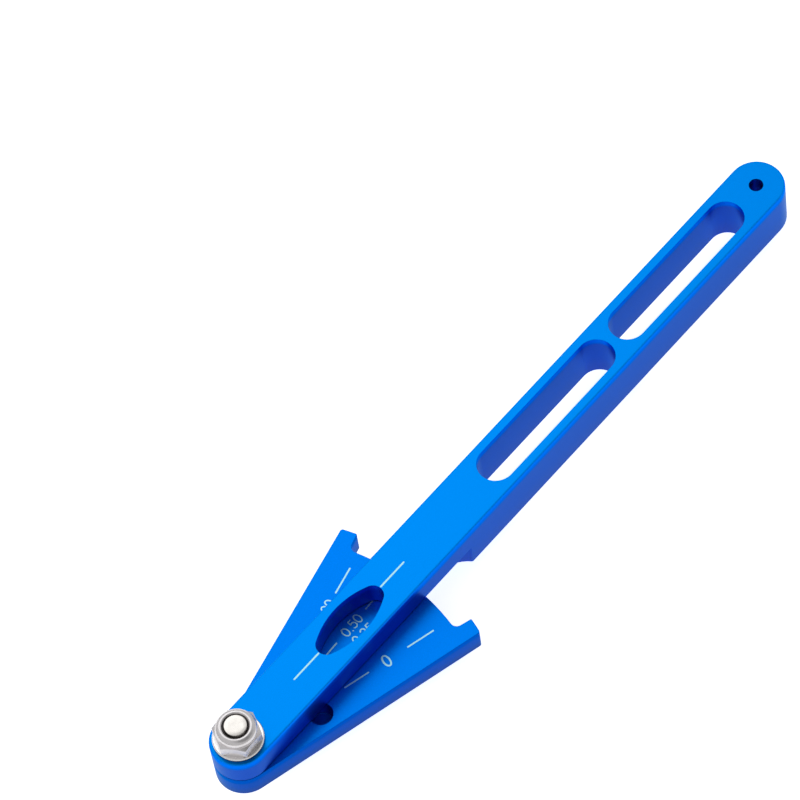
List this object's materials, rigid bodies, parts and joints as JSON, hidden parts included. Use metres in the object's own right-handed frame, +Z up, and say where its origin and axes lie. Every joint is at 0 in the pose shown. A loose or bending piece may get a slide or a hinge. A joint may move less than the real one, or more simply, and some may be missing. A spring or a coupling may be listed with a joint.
{
  "type": "chain wear gauge",
  "caption": "Slotted flat bar with a flared scale plate that swings on a pivot screw under its windowed end, and short measuring pins below, for reading how far a roller chain has stretched.",
  "frame": {"origin": "on the fixed measuring pin's axis, in the plane of the flat underside", "axes": "+X along the bar, from the pivot towards the fixed pin's end; +Z up, from the underside towards the lock nut; -Z the way that the measuring pins point"},
  "size_m": [0.1734, 0.037, 0.0209],
  "materials": {
    "anodised_aluminium": "fine blasted, blue anodised",
    "steel": "zinc plated, bright",
    "nylon": "moulded"
  },
  "bodies": {
    "frame": {"bar": "anodised_aluminium", "fixed_pin": "steel", "pivot_screw": "steel", "slip_washer": "steel", "flat_washer": "steel", "lock_nut": "steel", "nylon_ring": "nylon"},
    "plate": {"scale_plate": "anodised_aluminium", "moving_pin": "steel"}
  },
  "joints": [
    {"name": "scale_swing", "type": "hinge", "parent": "frame", "child": "plate", "pos_m": [-0.1614, 0, 0], "axis": [0, 0, 1], "range_deg": [-13.2, 15.3]}
  ]
}
